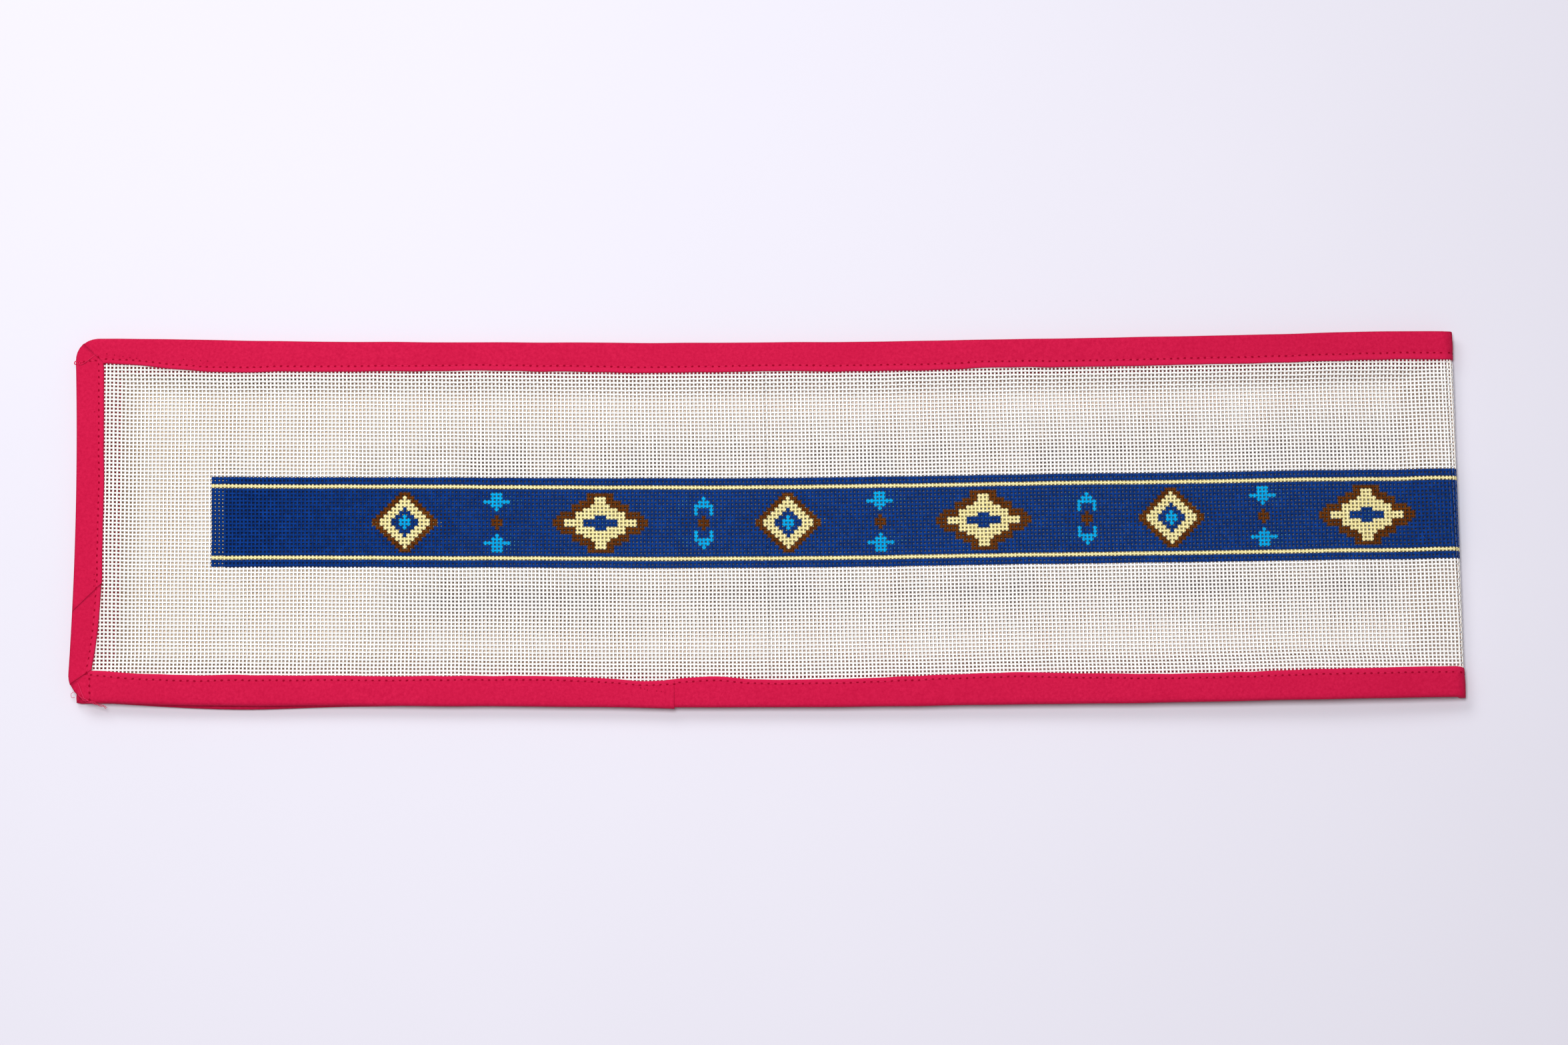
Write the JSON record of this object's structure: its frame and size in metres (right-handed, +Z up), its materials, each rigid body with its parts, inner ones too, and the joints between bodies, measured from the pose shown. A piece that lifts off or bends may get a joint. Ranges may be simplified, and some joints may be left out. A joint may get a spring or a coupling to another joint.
{
  "type": "needlepoint belt canvas, folded in half",
  "caption": "Even-weave needlepoint belt canvas with a painted centre band, cotton tape round its edges, folded in half crosswise.",
  "frame": {"origin": "centre of the bounding box, on the surface that the folded belt lies on", "axes": "+X along the belt towards its fold, +Y across it towards the far edge, +Z up"},
  "size_m": [0.5099, 0.1387, 0.0099],
  "materials": {
    "canvas": "white cotton mono canvas, matt, with a hand-painted band",
    "tape": "crimson cotton bias tape, matt, machine stitched"
  },
  "bodies": {
    "root": {"canvas": "canvas", "binding_far": "tape", "binding_near": "tape", "binding_near_left": "tape", "binding_end_upper": "tape", "binding_end_lower": "tape"}
  },
  "joints": []
}
